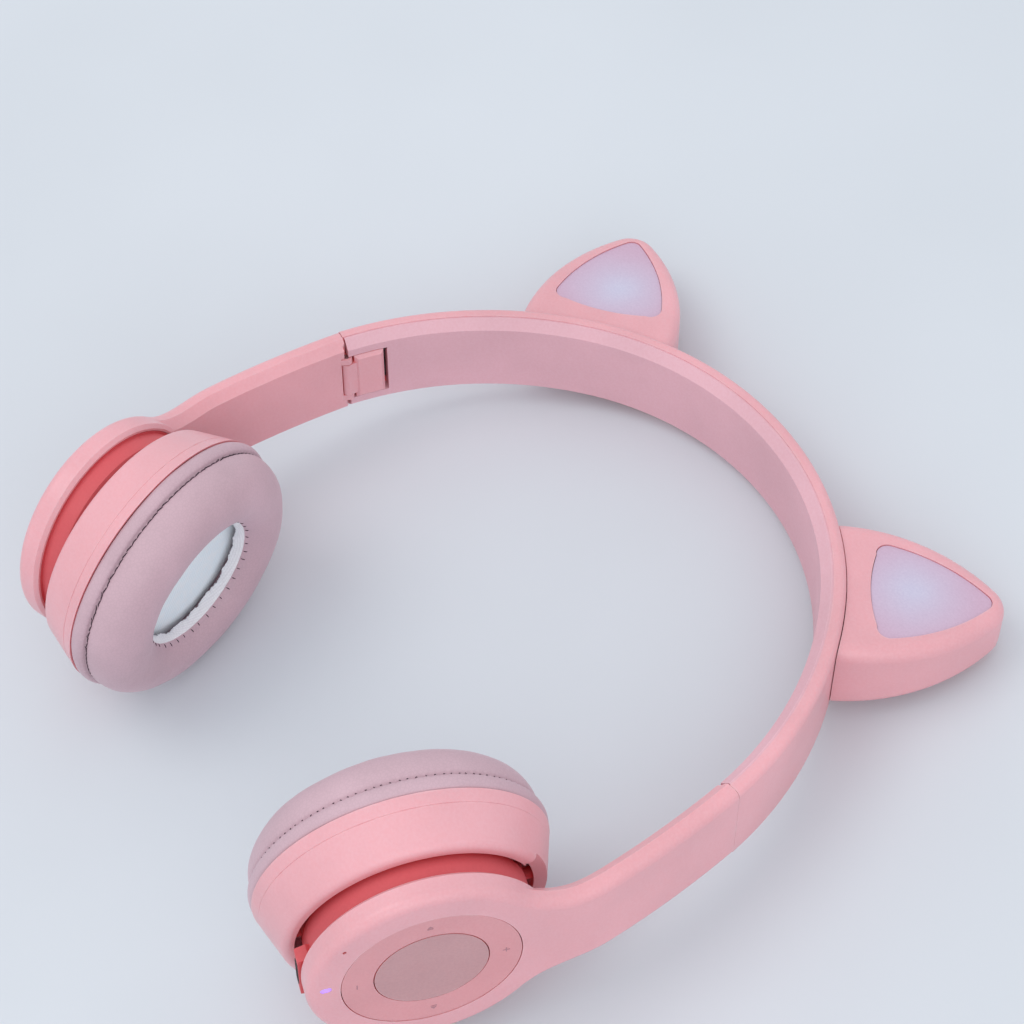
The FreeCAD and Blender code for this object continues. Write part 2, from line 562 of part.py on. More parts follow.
for side, sign in SIDES.items():
    lift = size(side + "_cup_lift")
    HUB_END, PIVOT = size("hub_end") - lift, size("pivot_depth") - lift
    LUG_LOW = PIVOT + 2.0
    hub = new_body(side + "_hub", REST * disc_frame(sign))
    revolve(hub, [(BORE_R, -PLATE_TOP), ("L", PLATE_R, -PLATE_TOP), ("L", PLATE_R, -DISC_D),
                  ("L", HUB_R, -DISC_D),
                  ("L", HUB_R, 0.8 - HUB_END), ("L", HUB_R - 0.8, -HUB_END), ("L", 0, -HUB_END),
                  ("L", 0, 1.4 - HUB_END), ("L", BORE_R, 1.4 - HUB_END)])
    for edge_y in (LUG_OUT, LUG_T - LUG_OUT):
        sketch = new_sketch(hub, "XZ_Plane", -edge_y)
        draw(sketch, [(-LUG_X, 1.0 - HUB_END), ("L", LUG_X, 1.0 - HUB_END), ("L", LUG_X, -PIVOT),
                      ("L", LUG_X * 0.6, -LUG_LOW), ("L", -LUG_X * 0.6, -LUG_LOW), ("L", -LUG_X, -PIVOT)])
        pad(hub, sketch, LUG_T)
    sketch = new_sketch(hub, "XZ_Plane")
    draw_circle(sketch, "dims.pivot_radius", 0, -PIVOT)
    pocket(hub, sketch, through=True, midplane=True)
    parts[side + "_hub"] = hub

    pins = new_body(side + "_pivot_pins", REST * disc_frame(sign))
    sketch = new_sketch(pins, "XZ_Plane")
    draw_circle(sketch, "dims.pivot_radius", 0, -PIVOT)
    pad(pins, sketch, "2 * (dims.recess_radius + dims.cup_wall - 0.1)", midplane=True)
    sketch = new_sketch(pins, "XZ_Plane")
    draw_circle(sketch, "dims.pivot_radius * 2", 0, -PIVOT)
    pocket(pins, sketch, 2 * (LUG_OUT - LUG_T - 0.3), midplane=True)

    PIVOT = size("pivot_depth")
    cup = new_body(side + "_cup_housing", REST * cup_frame(side))
    slope = (CUP_R - RIM_R) / (MOUTH - BACK - 1.2)
    neck_z = BACK + 2.8
    line_z = MOUTH - 3.0
    line_r = CUP_R - (MOUTH - line_z) * (CUP_R - RIM_R - 0.1) / (MOUTH - BACK - 1.5)
    revolve(cup, [(0, -FLOOR), ("L", RECESS_R, -FLOOR), ("L", RECESS_R, -BACK), ("L", RIM_R - 2.2, -BACK),
                  ("A", RIM_R - 0.65, -BACK - 0.45, RIM_R + 0.1, -BACK - 1.5),
                  ("L", line_r - 0.02, 0.12 - line_z), ("L", line_r - 0.14, -line_z),
                  ("L", line_r + 0.02, -0.12 - line_z), ("L", CUP_R, -MOUTH),
                  ("L", CUP_R - WALL, -MOUTH), ("L", CUP_R - WALL - slope * (MOUTH - neck_z), -neck_z),
                  ("L", RECESS_R + WALL, -neck_z), ("L", RECESS_R + WALL, -FLOOR - WALL),
                  ("L", 0, -FLOOR - WALL)])
    sketch = new_sketch(cup, "XY_Plane", 1 - BACK)
    draw_box(sketch, -HALF_W - 0.6, RECESS_R - 3, HALF_W + 0.6, CUP_R + 4)
    pocket(cup, sketch, "dims.notch_depth + 1")
    sketch = new_sketch(cup, "XZ_Plane")
    draw_circle(sketch, "dims.pivot_radius + dims.pin_clearance", 0, -PIVOT)
    pocket(cup, sketch, "2 * (dims.recess_radius + dims.cup_wall + 0.6)", midplane=True)

    frame = REST * cup_frame(side)
    lip = MOUTH + size("baffle_thick")
    baffle = new_body(side + "_cup_baffle", frame)
    revolve(baffle, [(size("driver_radius") + 0.1, -MOUTH - 0.05), ("L", CUP_R - WALL - 2.2, -MOUTH - 0.05),
                     ("L", CUP_R - WALL - 2.2, -MOUTH + 1.5), ("L", CUP_R - WALL - 0.9, -MOUTH + 1.5),
                     ("L", CUP_R - WALL - 0.9, -MOUTH - 0.05), ("L", CUP_R - 0.7, -MOUTH - 0.05),
                     ("L", CUP_R - 0.7, -lip), ("L", size("driver_radius") + 0.1, -lip)])
    driver = new_body(side + "_driver_frame", frame)
    flange = size("driver_radius")
    magnet_r = size("magnet_radius")
    revolve(driver, [(magnet_r + 0.3, -24.6), ("L", 12.0, -24.6), ("L", flange - 1.4, -27.1),
                     ("L", flange, -27.1), ("L", flange, -29.2), ("L", flange - 1.5, -29.2),
                     ("L", flange - 1.5, -28.1),
                     ("L", 11.6, -25.7), ("L", magnet_r + 0.3, -25.7)])
    magnet = new_body(side + "_driver_magnet", frame)
    sketch = new_sketch(magnet, "XY_Plane", -24.05)
    draw_circle(sketch, "dims.magnet_radius + 0.3")
    pad(magnet, sketch, 3.4, reverse=True)
    cone = new_body(side + "_driver_cone", frame)
    revolve(cone, [(0, -28.4), ("L", 3.0, -28.4), ("L", 7.0, -28.8), ("L", 9.0, -28.2),
                   ("L", flange - 1.6, -28.7), ("L", flange - 1.6, -29.1), ("L", 9.0, -28.6),
                   ("L", 7.0, -29.2), ("L", 3.0, -28.8), ("L", 0, -28.8)])
    seat = new_body(side + "_cushion_ring", frame)
    revolve(seat, ring_path(23.5, CUP_R - 0.7, -lip - 0.05, -lip - 1.5))
    cloth = new_body(side + "_speaker_cloth", frame)
    sketch = new_sketch(cloth, "XY_Plane", -lip - 1.55)
    draw_circle(sketch, "dims.hole_radius + 6.4")
    pad(cloth, sketch, 0.5, reverse=True)

    top, hole = size("cushion_top"), size("hole_radius")
    cushion = new_body(side + "_cushion", frame)
    soft = size("cushion_radius")
    revolve(cushion, [(CUP_R - 0.55, -MOUTH - 0.3), ("L", soft - 0.2, -MOUTH - 0.3),
                      ("A", soft, -MOUTH - 2.2, soft - 1.7, -MOUTH - 4.8),
                      ("A", soft - 2.9, -top + 4.2, soft - 8.4, -top),
                      ("A", soft - 14.4, -top + 0.5, hole, -top + 3.4),
                      ("L", hole, -lip - 2.3), ("L", hole + 6.7, -lip - 2.3), ("L", hole + 6.7, -lip - 1.65),
                      ("L", CUP_R - 0.55, -lip - 1.65)])
    lining = new_body(side + "_hole_lining", frame)
    revolve(lining, ring_path(hole - 0.7, hole - 0.1, -lip - 2.3, -top + 3.8))

# ---------------------------------------------------------------- what the hubs and the right disc hold
left, right = REST * disc_frame(-1), REST * disc_frame(1)
battery = new_body("battery", left)
sketch = new_sketch(battery, "XY_Plane", 1.6 - size("hub_end") + size("left_cup_lift"))
draw_box(sketch, -15, -10, 15, 10)
pad(battery, sketch, 5.0)
dress(battery, "Fillet", lambda pts, e: e.Length > 25, "dims.outer_round")

PORT_X, PORT_MID, PORT_Y = size("port_half_width"), size("port_middle"), size("port_face")
PORT_Z0, PORT_Z1 = -7.7, -10.1
hub = parts["right_hub"]
# a shoulder on the hub's rim frames the charging port
sketch = new_sketch(hub, "XY_Plane", -DISC_D - 0.05)
root, face, half = 2.4 - HUB_R, 0.15 - PORT_Y, PORT_X + 2.4
draw(sketch, [(PORT_MID - half - 0.8, -HUB_R), ("L", PORT_MID - half, face), ("L", PORT_MID + half, face),
              ("L", PORT_MID + half + 0.8, -HUB_R), ("L", PORT_MID + half, root),
              ("L", PORT_MID - half, root)])
pad(hub, sketch, "dims.shoulder_depth", reverse=True)
sketch = new_sketch(hub, "XZ_Plane", 31.0)
draw_box(sketch, PORT_MID - PORT_X - 0.05, PORT_Z1 - 0.05, PORT_MID + PORT_X + 0.05, PORT_Z0 + 0.05)
pocket(hub, sketch, 9.0)
JACK_X, JACK_Z, JACK_Y = 11.2, -10.2, -24.2
sketch = new_sketch(hub, "XZ_Plane", 31.0)
draw_circle(sketch, "dims.pivot_radius * 2", JACK_X, JACK_Z)
pocket(hub, sketch, 12.0)

port = new_body("charging_port", right)
sketch = new_sketch(port, "XZ_Plane", PORT_Y)
draw_box(sketch, PORT_MID - PORT_X, PORT_Z1, PORT_MID + PORT_X, PORT_Z0)
pad(port, sketch, 7.0, reverse=True)
dress(port, "Fillet", lambda pts, e: 6.5 < e.Length < 7.5 and abs(abs(pts[0].x - PORT_MID) - PORT_X) < 0.01,
      "dims.pin_radius * 1.3")
sketch = new_sketch(port, "XZ_Plane", PORT_Y)
draw_box(sketch, PORT_MID - PORT_X + 0.5, PORT_Z1 + 0.45, PORT_MID + PORT_X - 0.5, PORT_Z0 - 0.45)
pocket(port, sketch, 6.2)
sketch = new_sketch(port, "XZ_Plane", PORT_Y - 0.5)
tongue = (PORT_Z0 + PORT_Z1) / 2
draw_box(sketch, PORT_MID - PORT_X + 1.1, tongue - 0.3, PORT_MID + PORT_X - 1.1, tongue + 0.3)
pad(port, sketch, 6.0, reverse=True)

jack = new_body("audio_jack", right)
sketch = new_sketch(jack, "XZ_Plane", -JACK_Y)
draw_circle(sketch, "dims.pivot_radius * 2 - 0.05", JACK_X, JACK_Z)
pad(jack, sketch, 14.0, reverse=True)
sketch = new_sketch(jack, "XZ_Plane", -JACK_Y)
draw_circle(sketch, "dims.pivot_radius + 0.25", JACK_X, JACK_Z)
pocket(jack, sketch, 12.5)

BOARD_Z = -PLATE_TOP
board = new_body("control_board", right)
sketch = new_sketch(board, "XY_Plane", BOARD_Z)
draw_circle(sketch, "dims.disc_radius - dims.disc_wall - 0.5")
pad(board, sketch, 0.6)
radio = new_body("radio_module", right)
sketch = new_sketch(radio, "XY_Plane", BOARD_Z)
draw_box(sketch, -7, 4, 5, 14)
pad(radio, sketch, 1.6, reverse=True)

SPOTS = [(17.5, 0), (-17.5, 0), (0, 17.5), (0, -17.5)]
SWITCH_Z = BOARD_Z + 0.6
switches = new_body("control_switches", right)
sketch = new_sketch(switches, "XY_Plane", SWITCH_Z)
for x, y in SPOTS[:1]:
    draw_circle(sketch, "dims.pin_radius * 2.4", x, y)
pad(switches, sketch, 0.45)
turn = switches.newObject("PartDesign::PolarPattern", "switch_pattern")
turn.Originals = [switches.Tip]
turn.Axis = ([f for f in switches.Origin.OriginFeatures if f.Role == "Z_Axis"][0], [""])
turn.Angle, turn.Occurrences = 360, 4
switches.Tip = turn
switches.AllowCompound = True
checked(turn)

ROCK_Z = -size("rock_depth")
carrier = new_body("ring_carrier", right)
revolve(carrier, ring_path(14.9, 20.8, ROCK_Z + 0.225, ROCK_Z - 0.225))
sketch = new_sketch(carrier, "XY_Plane", -3.4)
for x, y in SPOTS[2:]:
    draw_circle(sketch, "dims.pin_radius * 1.5", x, y)
pad(carrier, sketch, 0.5, reverse=True)
sketch = new_sketch(carrier, "XY_Plane")
for x, y in SPOTS[:2]:
    draw_circle(sketch, "dims.pin_radius * 2.2", x, y)
pocket(carrier, sketch, through=True, midplane=True)
# round pins on the two rocking axes: the disc carries those along X, the ring sits on those along Y
for plane, inner, length in (("YZ_Plane", 20.5, 1.7), ("XZ_Plane", 19.6, 1.1)):
    for hand in (inner, -inner - length):
        sketch = new_sketch(carrier, plane, hand)
        draw_circle(sketch, "dims.rock_pin", 0, ROCK_Z)
        pad(carrier, sketch, length)

RING_R, RING_IN, BUTTON_R = size("ring_radius"), size("ring_inner"), size("button_radius")
ring = new_body("control_ring", right)
revolve(ring, [(RING_IN, -0.5), ("L", RING_R, -0.12), ("L", RING_R, -2.5), ("L", RING_IN, -2.5)])
sketch = new_sketch(ring, "XY_Plane", -2.4)
for x, y in SPOTS[:2]:
    draw_circle(sketch, "dims.pin_radius * 1.5", x, y)
pad(ring, sketch, 1.4, reverse=True)

button = new_body("centre_button", right)
revolve(button, [(0, -0.75), ("A", BUTTON_R / 2, -0.68, BUTTON_R, -0.42), ("L", BUTTON_R, -2.95),
                 ("L", BUTTON_R + 1.0, -2.95), ("L", BUTTON_R + 1.0, -3.35), ("L", 2.0, -3.35),
                 ("L", 2.0, -3.8), ("L", 0, -3.8)])
dome = new_body("button_switch", right)
sketch = new_sketch(dome, "XY_Plane", SWITCH_Z)
draw_circle(sketch, "dims.pin_radius * 2.4")
pad(dome, sketch, 0.45)

light = new_body("status_light", right)
sketch = new_sketch(light, "XY_Plane", -0.05)
draw(sketch, light_outline(0.0))
pad(light, sketch, 4.6, reverse=True)
mic = new_body("microphone", right)
sketch = new_sketch(mic, "XY_Plane", SWITCH_Z)
draw_circle(sketch, "dims.pivot_radius", *MIC)
pad(mic, sketch, 2.6)

# ---------------------------------------------------------------- cat ears
EAR_H, ROOT_Z, TIP_Z = size("ear_height"), size("ear_root_half"), size("ear_tip_half")
FOOT_Y = -1.0
EAR_GAP = size("ear_gap")


def to_ear(point, flip):
    dx, dy = point[0] - EAR_FOOT[0], point[1] - EAR_FOOT[1]
    s, c = sin(radians(EAR_LEAN)), cos(radians(EAR_LEAN))
    return (flip * (dx * c - dy * s), dx * s + dy * c)


def bulged(a, b, amount):
    """Middle point of an arc from a to b that stands out to the right of its chord."""
    dx, dy = b[0] - a[0], b[1] - a[1]
    length = hypot(dx, dy)
    return ((a[0] + b[0]) / 2 + dy / length * amount, (a[1] + b[1]) / 2 - dx / length * amount)


def ear_outline(flip):
    start, end = size("ear_start"), size("ear_end")
    crown, side = CROWN_R + EAR_GAP, SIDE_R + EAR_GAP
    low = to_ear(on_arc(CROWN_C, crown, start), flip)
    low_mid = to_ear(on_arc(CROWN_C, crown, (start + CROWN_A) / 2), flip)
    join = to_ear(on_arc(CROWN_C, crown, CROWN_A), flip)
    high_mid = to_ear(on_arc(SIDE_C, side, (CROWN_A + end) / 2), flip)
    high = to_ear(on_arc(SIDE_C, side, end), flip)
    shoulder = (5.5, EAR_H - 2.4)
    near, far = (flip * shoulder[0], shoulder[1]), (-flip * shoulder[0], shoulder[1])
    return [
        low, ("A",) + low_mid + join, ("A",) + high_mid + high,
        ("A",) + bulged(high, near, flip * size("ear_bulge")) + near,
        ("A", 0, EAR_H) + far,
        ("A",) + bulged(far, low, flip * size("ear_bulge")) + low,
    ]


def lens_outline(inset):
    """Rounded triangle with bowed sides, symmetrical about X = 0."""
    half, y0, y1 = size("lens_half") - inset, size("lens_start") + inset, size("lens_end") - inset
    corner, tip = size("lens_corner"), size("lens_tip") - inset * 0.5
    foot = (half - corner, y0)
    side = (half - 0.1, y0 + corner)
    peak = (tip, y1 - 0.4 * tip)
    side_mid = bulged(side, peak, 2.1)
    return [
        (-foot[0], y0), ("A", 0, y0 - 1.5) + foot,
        ("A", half - corner * 0.28, y0 + corner * 0.24) + side,
        ("A",) + side_mid + peak,
        ("A", 0, y1, -peak[0], peak[1]),
        ("A", -side_mid[0], side_mid[1], -side[0], side[1]),
        ("A", -half + corner * 0.28, y0 + corner * 0.24, -foot[0], y0),
    ]


def taper(y):
    return ROOT_Z + (TIP_Z - ROOT_Z) * (y - FOOT_Y) / (EAR_H - FOOT_Y)


def wedge(body, drop, both):
    """Cuts the body down to the ear's tapering faces, lowered by drop."""
    sketch = side_sketch(body)
    for face in ((1, -1) if both else (1,)):
        draw(sketch, [(FOOT_Y - 4, face * (taper(FOOT_Y - 4) - drop)), ("L", 48, face * (taper(48) - drop)),
                      ("L", 48, face * 16), ("L", FOOT_Y - 4, face * 16)])
    pocket(body, sketch, through=True, midplane=True)


def on_band(p, flip):
    s, c = sin(radians(EAR_LEAN)), cos(radians(EAR_LEAN))
    x, y = EAR_FOOT[0] + flip * p.x * c + p.y * s, EAR_FOOT[1] - flip * p.x * s + p.y * c
    return abs(depth_of(Vector(x, y, 0)) + EAR_GAP) < 0.02


for side, sign in SIDES.items():
    place = REST * ear_frame(sign)
    ear = new_body(side + "_ear_shell", place)
    sketch = new_sketch(ear, "XY_Plane")
    draw(sketch, ear_outline(sign))
    pad(ear, sketch, "2 * dims.ear_root_half + 2", midplane=True)
    wedge(ear, 0.0, True)
    dress(ear, "Fillet", lambda pts, e: all(abs(abs(p.z) - taper(p.y)) < 0.01 for p in pts)
          and not all(on_band(p, sign) for p in pts), "dims.ear_round")
    sketch = new_sketch(ear, "XY_Plane", 12.0)
    draw(sketch, lens_outline(0))
    pocket(ear, sketch, 10.5)
    sketch = new_sketch(ear, "XZ_Plane", 2.0)
    for level in (-EAR_SCREW_Z, EAR_SCREW_Z):
        draw_circle(sketch, "dims.pin_radius + 0.1", 0, level)
    pocket(ear, sketch, 2.0 + FOOT_RISE + 6.0)
    lens = new_body(side + "_ear_lens", place)
    sketch = new_sketch(lens, "XY_Plane", 5.4)
    draw(sketch, lens_outline(0.12))
    pad(lens, sketch, 9.0)
    wedge(lens, 0.35, False)
    leds = new_body(side + "_ear_light_board", place)
    sketch = new_sketch(leds, "XY_Plane", 1.55)
    draw(sketch, lens_outline(0.5))
    pad(leds, sketch, 1.0)
    sketch = new_sketch(leds, "XY_Plane", 2.5)
    for x, y in ((-6, 17), (6, 17), (0, 26)):
        draw_box(sketch, x - 1.4, y - 1.4, x + 1.4, y + 1.4)
    pad(leds, sketch, 0.9)

# ---------------------------------------------------------------- check and write
doc.recompute()
BLANKS = ("shell_blank",)
nodes = [o for o in doc.Objects if o.TypeId == "PartDesign::Body" and o.Label not in BLANKS]
nodes += [headband, ear_screws]
for thing in doc.Objects:
    if "Invalid" in thing.State or "Error" in thing.State:
        raise RuntimeError(thing.Name + " has state " + ", ".join(thing.State))
os.makedirs("parts", exist_ok=True)
for node in nodes:
    shape = node.Shape
    if shape.isNull() or not shape.isValid():
        raise RuntimeError(node.Label + " has no valid shape")
    shape.exportStep("parts/%s.step" % node.Label)
whole = [n.Shape.optimalBoundingBox() for n in nodes]
low = [min(getattr(b, k) for b in whole) for k in ("XMin", "YMin", "ZMin")]
high = [max(getattr(b, k) for b in whole) for k in ("XMax", "YMax", "ZMax")]
print("nodes", len(nodes), "box", [round(v, 3) for v in low], [round(v, 3) for v in high])
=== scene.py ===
import json
import math
from random import Random

import bmesh
import bpy
from mathutils import Euler, Matrix, Vector, noise
from mathutils.bvhtree import BVHTree


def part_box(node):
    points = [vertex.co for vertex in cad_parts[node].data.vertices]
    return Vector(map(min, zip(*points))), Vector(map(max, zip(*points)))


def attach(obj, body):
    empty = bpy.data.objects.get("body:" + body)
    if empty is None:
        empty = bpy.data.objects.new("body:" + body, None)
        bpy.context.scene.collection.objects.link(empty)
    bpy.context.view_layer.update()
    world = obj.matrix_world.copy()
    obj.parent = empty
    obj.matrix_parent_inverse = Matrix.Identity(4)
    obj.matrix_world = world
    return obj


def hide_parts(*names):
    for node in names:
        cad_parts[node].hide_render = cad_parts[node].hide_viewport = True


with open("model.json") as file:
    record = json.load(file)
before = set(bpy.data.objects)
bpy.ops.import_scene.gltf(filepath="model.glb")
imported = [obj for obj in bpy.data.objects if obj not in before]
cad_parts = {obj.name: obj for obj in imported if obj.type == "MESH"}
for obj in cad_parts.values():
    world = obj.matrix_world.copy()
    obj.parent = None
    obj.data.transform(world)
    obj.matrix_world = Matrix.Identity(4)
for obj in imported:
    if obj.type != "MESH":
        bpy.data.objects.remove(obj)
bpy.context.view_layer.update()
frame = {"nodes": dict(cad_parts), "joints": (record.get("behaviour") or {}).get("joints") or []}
MM = 0.001
joints = {j["name"]: j for j in frame["joints"]}


# ------------------------------------------------------------------ places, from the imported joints
SIGN = {"left": -1, "right": 1}
PIVOT_DEPTH = 18.6 * MM


def pivot_frame(side):
    """Frame at a cup's swivel: Y up the arm along the swivel pins, -Z towards the head."""
    swivel = joints[side + "_cup_swivel"]
    y = Vector(swivel["axis"]).normalized()
    x = -SIGN[side] * Vector(joints[side + "_fold"]["axis"]).normalized()
    turn = Matrix((x, y, x.cross(y))).transposed().to_4x4()
    return Matrix.Translation(swivel["pos_m"]) @ turn


def cup_frame(side):
    """Frame of a cup, tilted as it rests, with depths counted from PIVOT_DEPTH outside the pins."""
    low, high = joints[side + "_cup_swivel"]["range_deg"]
    tilt = Matrix.Rotation(-math.radians(low + high) / 2, 4, "Y")
    return pivot_frame(side) @ tilt @ Matrix.Translation((0, 0, PIVOT_DEPTH))


def disc_frame():
    """Frame of the right disc, origin in the middle of its outer face."""
    return pivot_frame("right") @ Matrix.Translation((0, 0, PIVOT_DEPTH))


# ------------------------------------------------------------------ materials
def node(tree, kind, inputs=None, **settings):
    made = tree.nodes.new("ShaderNode" + kind)
    for key, value in settings.items():
        setattr(made, key, value)
    for key, value in (inputs or {}).items():
        if isinstance(value, bpy.types.NodeSocket):
            tree.links.new(value, made.inputs[key])
        else:
            made.inputs[key].default_value = value
    return made


def linear(rgb):
    """Linear colour from 0-255 display values."""
    shown = [v / 255 for v in rgb]
    return tuple(v / 12.92 if v <= 0.04045 else ((v + 0.055) / 1.055) ** 2.4 for v in shown) + (1.0,)


def ramp(tree, fac, stops, interpolation="LINEAR"):
    made = node(tree, "ValToRGB", {"Fac": fac})
    made.color_ramp.interpolation = interpolation
    while len(made.color_ramp.elements) < len(stops):
        made.color_ramp.elements.new(0.5)
    for element, (place, colour) in zip(made.color_ramp.elements, stops):
        element.position = place
        element.color = colour
    return made.outputs["Color"]


def grey(v):
    return (v, v, v, 1)


def mixed(tree, fac, a, b, blend="MIX"):
    made = node(tree, "Mix", data_type="RGBA", blend_type=blend)
    for index, value in ((0, fac), (6, a), (7, b)):
        if isinstance(value, bpy.types.NodeSocket):
            tree.links.new(value, made.inputs[index])
        else:
            made.inputs[index].default_value = value
    return made.outputs[2]


def math_node(tree, operation, a, b=0.0):
    made = node(tree, "Math", operation=operation)
    for index, value in ((0, a), (1, b)):
        if isinstance(value, bpy.types.NodeSocket):
            tree.links.new(value, made.inputs[index])
        else:
            made.inputs[index].default_value = value
    return made.outputs[0]


def new_material(name):
    material = bpy.data.materials.new(name)
    material.use_nodes = True
    tree = material.node_tree
    shader = tree.nodes["Principled BSDF"]
    where = node(tree, "TexCoord").outputs["Object"]
    return material, tree, shader, where


def noise_at(tree, where, scale, detail=2.0, roughness=0.5):
    return node(tree, "TexNoise", {"Vector": where, "Scale": scale, "Detail": detail,
                                   "Roughness": roughness}).outputs["Fac"]


def bump(tree, shader, height, strength, distance, under=None):
    inputs = {"Height": height, "Strength": strength, "Distance": distance}
    if under is not None:
        inputs["Normal"] = under
    made = node(tree, "Bump", inputs)
    tree.links.new(made.outputs["Normal"], shader.inputs["Normal"])
    return made.outputs["Normal"]


def moulded(name, rgb, rough=0.36, coat=0.12, glow=0.0, wear=0.35, grain=0.10, spread=0.045, crevice_shade=None):
    """Moulded plastic: slow drifts of tone, fine grain, lighter rubbed edges, uneven polish, and painted
    shade that turns the colour deep red in crevices.
    """
    material, tree, shader, where = new_material(name)
    base = linear(rgb)
    slow = noise_at(tree, where, 26.0, 3.0)
    dark = tuple(c * (1 - spread * 2) for c in base[:3]) + (1,)
    light = tuple(min(1, c * (1 + spread)) for c in base[:3]) + (1,)
    colour = mixed(tree, ramp(tree, slow, [(0.32, grey(0)), (0.68, grey(1))]), dark, light)
    speck = noise_at(tree, where, 1500.0, 2.0)
    colour = mixed(tree, 0.05, colour, ramp(tree, speck, [(0.35, grey(0.25)), (0.65, grey(0.9))]), "OVERLAY")
    if wear:
        geometry = node(tree, "NewGeometry")
        soft = node(tree, "Bevel", {"Radius": 0.0007}, samples=4)
        facing = node(tree, "VectorMath", {0: soft.outputs["Normal"], 1: geometry.outputs["Normal"]},
                      operation="DOT_PRODUCT").outputs["Value"]
        edge = ramp(tree, facing, [(0.86, grey(1)), (0.985, grey(0))])
        patch = ramp(tree, noise_at(tree, where, 160.0, 4.0), [(0.42, grey(0)), (0.62, grey(1))])
        worn = math_node(tree, "MULTIPLY", math_node(tree, "MULTIPLY", edge, patch), wear)
        pale = tuple(c + (1 - c) * 0.45 for c in base[:3]) + (1,)
        colour = mixed(tree, worn, colour, pale)
    # painted shade: where ambient occlusion finds crevices and gaps, the colour turns deep red, standing in
    # for shade and light bounced between pink parts
    if crevice_shade:
        crevice_shade_mask = node(tree, "AmbientOcclusion", {"Distance": 0.007}, samples=6).outputs["AO"]
        colour = mixed(tree, ramp(tree, crevice_shade_mask, [(0.10, grey(1)), (0.50, grey(0))]), colour, linear(crevice_shade))
    tree.links.new(colour, shader.inputs["Base Color"])
    smear = noise_at(tree, where, 70.0, 5.0, 0.6)
    roughness = ramp(tree, smear, [(0.3, grey(rough - 0.05)), (0.7, grey(rough + 0.07))])
    tree.links.new(roughness, shader.inputs["Roughness"])
    fine = noise_at(tree, where, 2600.0, 3.0)
    wave = noise_at(tree, where, 95.0, 1.0)
    first = bump(tree, shader, wave, 0.12, 0.0002)
    bump(tree, shader, fine, grain, 0.00006, first)
    shader.inputs["Coat Weight"].default_value = coat
    shader.inputs["Coat Roughness"].default_value = 0.22
    if glow:
        shader.inputs["Subsurface Weight"].default_value = glow
        shader.inputs["Subsurface Radius"].default_value = (0.0035, 0.0012, 0.0011)
        shader.inputs["Subsurface Scale"].default_value = 1.0
    return material


def leatherette(name, rgb):
    """Protein leatherette: pebbled grain with fine creases, soft sheen."""
    material, tree, shader, where = new_material(name)
    base = linear(rgb)
    warp = node(tree, "TexNoise", {"Vector": where, "Scale": 420.0, "Detail": 2.0})
    shift = node(tree, "VectorMath", {0: warp.outputs["Color"], "Scale": 0.0009}, operation="SCALE")
    bent = node(tree, "VectorMath", {0: where, 1: shift.outputs["Vector"]}, operation="ADD")
    cells = node(tree, "TexVoronoi", {"Vector": bent.outputs["Vector"], "Scale": 1150.0},
                 feature="DISTANCE_TO_EDGE")
    pebbles = ramp(tree, cells.outputs["Distance"], [(0.0, grey(0.35)), (0.16, grey(1))])
    creases = ramp(tree, noise_at(tree, where, 300.0, 6.0, 0.65), [(0.35, grey(0)), (0.65, grey(1))])
    slow = noise_at(tree, where, 40.0, 3.0)
    dark = tuple(c * 0.90 for c in base[:3]) + (1,)
    light = tuple(min(1, c * 1.06) for c in base[:3]) + (1,)
    colour = mixed(tree, ramp(tree, slow, [(0.3, grey(0)), (0.7, grey(1))]), dark, light)
    colour = mixed(tree, 0.10, colour, pebbles, "MULTIPLY")
    tree.links.new(colour, shader.inputs["Base Color"])
    tree.links.new(ramp(tree, creases, [(0.0, grey(0.50)), (1.0, grey(0.60))]), shader.inputs["Roughness"])
    first = bump(tree, shader, creases, 0.10, 0.0003)
    bump(tree, shader, pebbles, 0.14, 0.00007, first)
    shader.inputs["Sheen Weight"].default_value = 0.15
    shader.inputs["Sheen Roughness"].default_value = 0.45
    shader.inputs["Sheen Tint"].default_value = (0.95, 0.85, 0.92, 1)
    return material


# scale of a wave texture whose bands are one metre apart
WAVE_PER_METRE = 0.314


def woven(name, rgb, pitch=0.00045, rough=0.9, depth=0.5):
    """Plain weave: over and under threads, slubs."""
    material, tree, shader, where = new_material(name)
    base = linear(rgb)
    height = None
    for direction in ("X", "Y", "Z"):
        bands = node(tree, "TexWave", {"Vector": where, "Scale": WAVE_PER_METRE / pitch, "Distortion": 0.4,
                                       "Detail": 1.0, "Detail Scale": 2.0},
                     bands_direction=direction).outputs["Fac"]
        height = bands if height is None else math_node(tree, "MULTIPLY", height, math_node(
            tree, "ADD", math_node(tree, "MULTIPLY", bands, 0.7), 0.3))
    slubs = noise_at(tree, where, 500.0, 3.0)
    low = tuple(c * 0.88 for c in base[:3]) + (1,)
    colour = mixed(tree, ramp(tree, height, [(0.0, grey(0)), (0.4, grey(1))]), low, base)
    colour = mixed(tree, ramp(tree, slubs, [(0.4, grey(0)), (0.7, grey(0.35))]), colour, grey(0.9))
    tree.links.new(colour, shader.inputs["Base Color"])
    shader.inputs["Roughness"].default_value = rough
    bump(tree, shader, height, depth, 0.00012)
    shader.inputs["Sheen Weight"].default_value = 0.3
    return material


